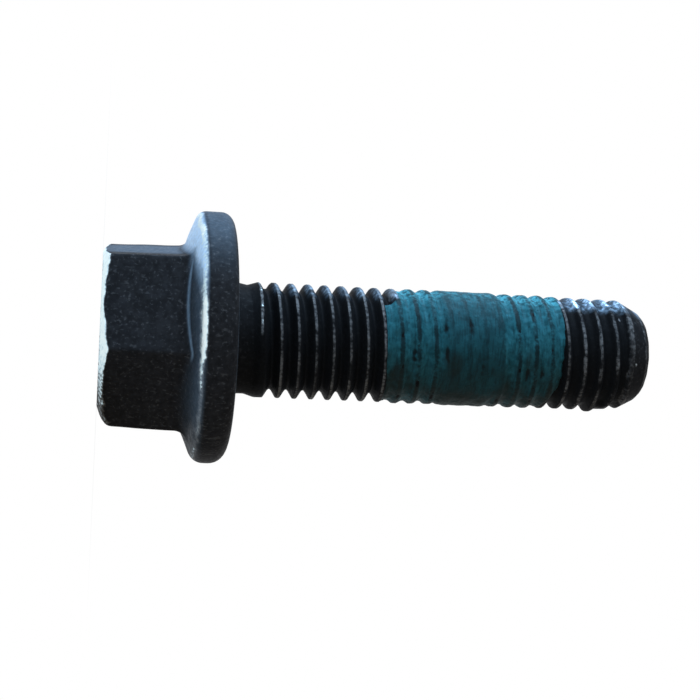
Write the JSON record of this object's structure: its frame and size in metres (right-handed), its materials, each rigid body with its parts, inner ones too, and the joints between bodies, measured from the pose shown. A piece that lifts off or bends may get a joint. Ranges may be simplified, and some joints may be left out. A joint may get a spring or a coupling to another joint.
{
  "type": "hex flange bolt",
  "caption": "Black hex-head flange bolt with a rolled coarse thread, chamfered point and a dried teal band of thread-locking compound.",
  "frame": {"origin": "centre of the flange's bearing face, on the bolt's axis", "axes": "+Z along the axis from the head to the point; two opposite corners of the hexagon lie on X"},
  "size_m": [0.0256, 0.0256, 0.0568],
  "materials": {
    "black_steel": "black phosphate and oil on steel, satin, worn light along edges and crests",
    "thread_lock": "dried teal thread-locking compound, matt, pitted"
  },
  "bodies": {
    "root": {"bolt": "black_steel", "thread_lock_patch": "thread_lock"}
  },
  "joints": []
}
